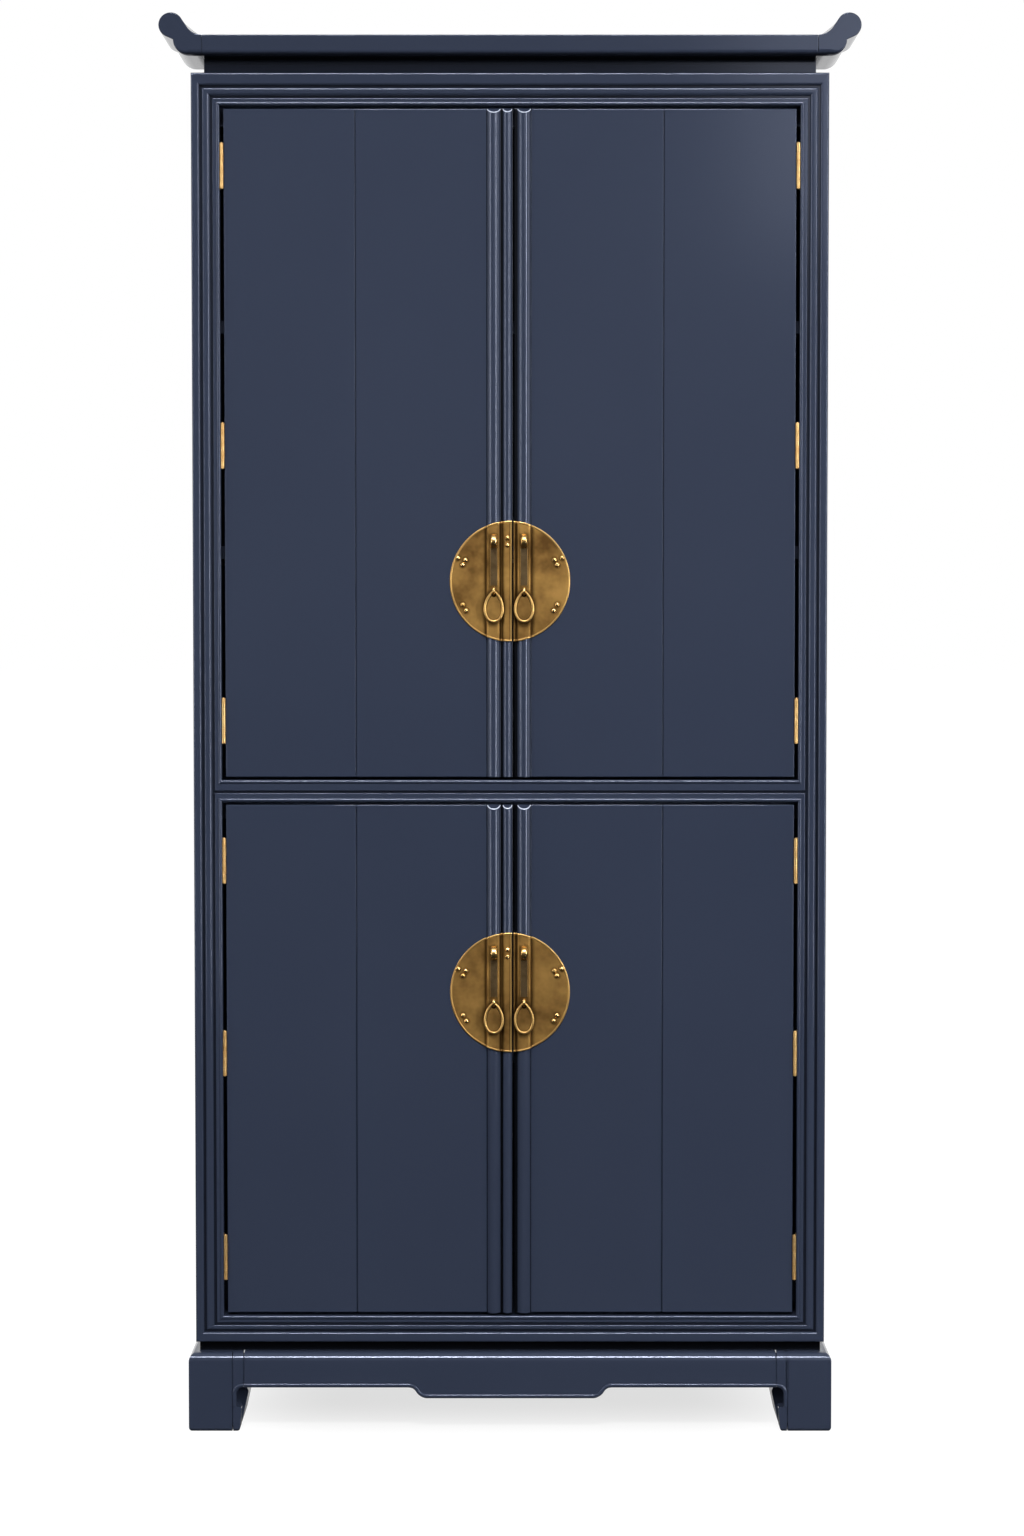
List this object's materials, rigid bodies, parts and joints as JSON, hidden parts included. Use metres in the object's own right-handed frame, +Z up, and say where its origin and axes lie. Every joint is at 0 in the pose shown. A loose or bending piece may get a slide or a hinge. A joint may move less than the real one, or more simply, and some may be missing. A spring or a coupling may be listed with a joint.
{
  "type": "hutch",
  "caption": "Tall lacquered hutch with an upswept cornice, inset hinged doors over shelved bays, round split brass lock plates with teardrop pulls, and a low base on hoof feet.",
  "frame": {"origin": "on the floor under the middle of the whole piece", "axes": "+Z up, front with the doors towards -Y, +X to the viewer's right"},
  "size_m": [1.0148, 0.538, 2.0702],
  "materials": {
    "navy_lacquer": "satin lacquer",
    "inner_wood": "matt lacquer",
    "plate_brass": "aged",
    "hinge_brass": "polished",
    "steel": "brushed"
  },
  "bodies": {
    "case": {"left_side_panel": "navy_lacquer", "right_side_panel": "navy_lacquer", "case_top": "navy_lacquer", "case_bottom": "navy_lacquer", "middle_divider": "navy_lacquer", "back_panel": "navy_lacquer", "left_stile": "navy_lacquer", "right_stile": "navy_lacquer", "top_rail": "navy_lacquer", "middle_rail": "navy_lacquer", "bottom_rail": "navy_lacquer", "base_neck": "navy_lacquer", "front_apron": "navy_lacquer", "rear_apron": "navy_lacquer", "left_apron": "navy_lacquer", "right_apron": "navy_lacquer", "front_left_foot": "navy_lacquer", "front_right_foot": "navy_lacquer", "rear_left_foot": "navy_lacquer", "rear_right_foot": "navy_lacquer", "cornice_neck": "navy_lacquer", "cornice_top": "navy_lacquer", "front_cornice": "navy_lacquer", "left_flare": "navy_lacquer", "right_flare": "navy_lacquer", "upper_shelves": "inner_wood", "lower_shelf": "inner_wood", "shelf_pins": "steel", "door_stops": "inner_wood", "magnetic_catches": "steel", "hinge_frame_leaves": "hinge_brass", "hinge_pins": "hinge_brass"},
    "upper_left_door": {"upper_left_door_boards": "navy_lacquer", "upper_left_door_stile": "navy_lacquer", "upper_left_lock_plate": "plate_brass", "upper_left_plate_fittings": "plate_brass", "upper_left_hinge_leaves": "hinge_brass", "upper_left_strike": "steel"},
    "upper_left_teardrop": {"upper_left_pull": "plate_brass"},
    "upper_right_door": {"upper_right_door_boards": "navy_lacquer", "upper_right_door_stile": "navy_lacquer", "upper_right_lock_plate": "plate_brass", "upper_right_plate_fittings": "plate_brass", "upper_right_hinge_leaves": "hinge_brass", "upper_right_strike": "steel"},
    "upper_right_teardrop": {"upper_right_pull": "plate_brass"},
    "lower_left_door": {"lower_left_door_boards": "navy_lacquer", "lower_left_door_stile": "navy_lacquer", "lower_left_lock_plate": "plate_brass", "lower_left_plate_fittings": "plate_brass", "lower_left_hinge_leaves": "hinge_brass", "lower_left_strike": "steel"},
    "lower_left_teardrop": {"lower_left_pull": "plate_brass"},
    "lower_right_door": {"lower_right_door_boards": "navy_lacquer", "lower_right_door_stile": "navy_lacquer", "lower_right_lock_plate": "plate_brass", "lower_right_plate_fittings": "plate_brass", "lower_right_hinge_leaves": "hinge_brass", "lower_right_strike": "steel"},
    "lower_right_teardrop": {"lower_right_pull": "plate_brass"}
  },
  "joints": [
    {"name": "upper_left_door_hinge", "type": "hinge", "parent": "case", "child": "upper_left_door", "pos_m": [-0.41905, -0.245, 1.45025], "axis": [0, 0, -1], "range_deg": [0, 165]},
    {"name": "upper_left_pull_swing", "type": "hinge", "parent": "upper_left_door", "child": "upper_left_teardrop", "pos_m": [-0.02365, -0.2585, 1.2368], "axis": [-1, 0, 0], "range_deg": [0, 90]},
    {"name": "upper_right_door_hinge", "type": "hinge", "parent": "case", "child": "upper_right_door", "pos_m": [0.41905, -0.245, 1.45025], "axis": [0, 0, 1], "range_deg": [0, 165]},
    {"name": "upper_right_pull_swing", "type": "hinge", "parent": "upper_right_door", "child": "upper_right_teardrop", "pos_m": [0.02055, -0.2585, 1.2368], "axis": [-1, 0, 0], "range_deg": [0, 90]},
    {"name": "lower_left_door_hinge", "type": "hinge", "parent": "case", "child": "lower_left_door", "pos_m": [-0.41905, -0.245, 0.5488], "axis": [0, 0, -1], "range_deg": [0, 165]},
    {"name": "lower_left_pull_swing", "type": "hinge", "parent": "lower_left_door", "child": "lower_left_teardrop", "pos_m": [-0.02365, -0.2585, 0.6344], "axis": [-1, 0, 0], "range_deg": [0, 90]},
    {"name": "lower_right_door_hinge", "type": "hinge", "parent": "case", "child": "lower_right_door", "pos_m": [0.41905, -0.245, 0.5488], "axis": [0, 0, 1], "range_deg": [0, 165]},
    {"name": "lower_right_pull_swing", "type": "hinge", "parent": "lower_right_door", "child": "lower_right_teardrop", "pos_m": [0.02055, -0.2585, 0.6344], "axis": [-1, 0, 0], "range_deg": [0, 90]}
  ]
}
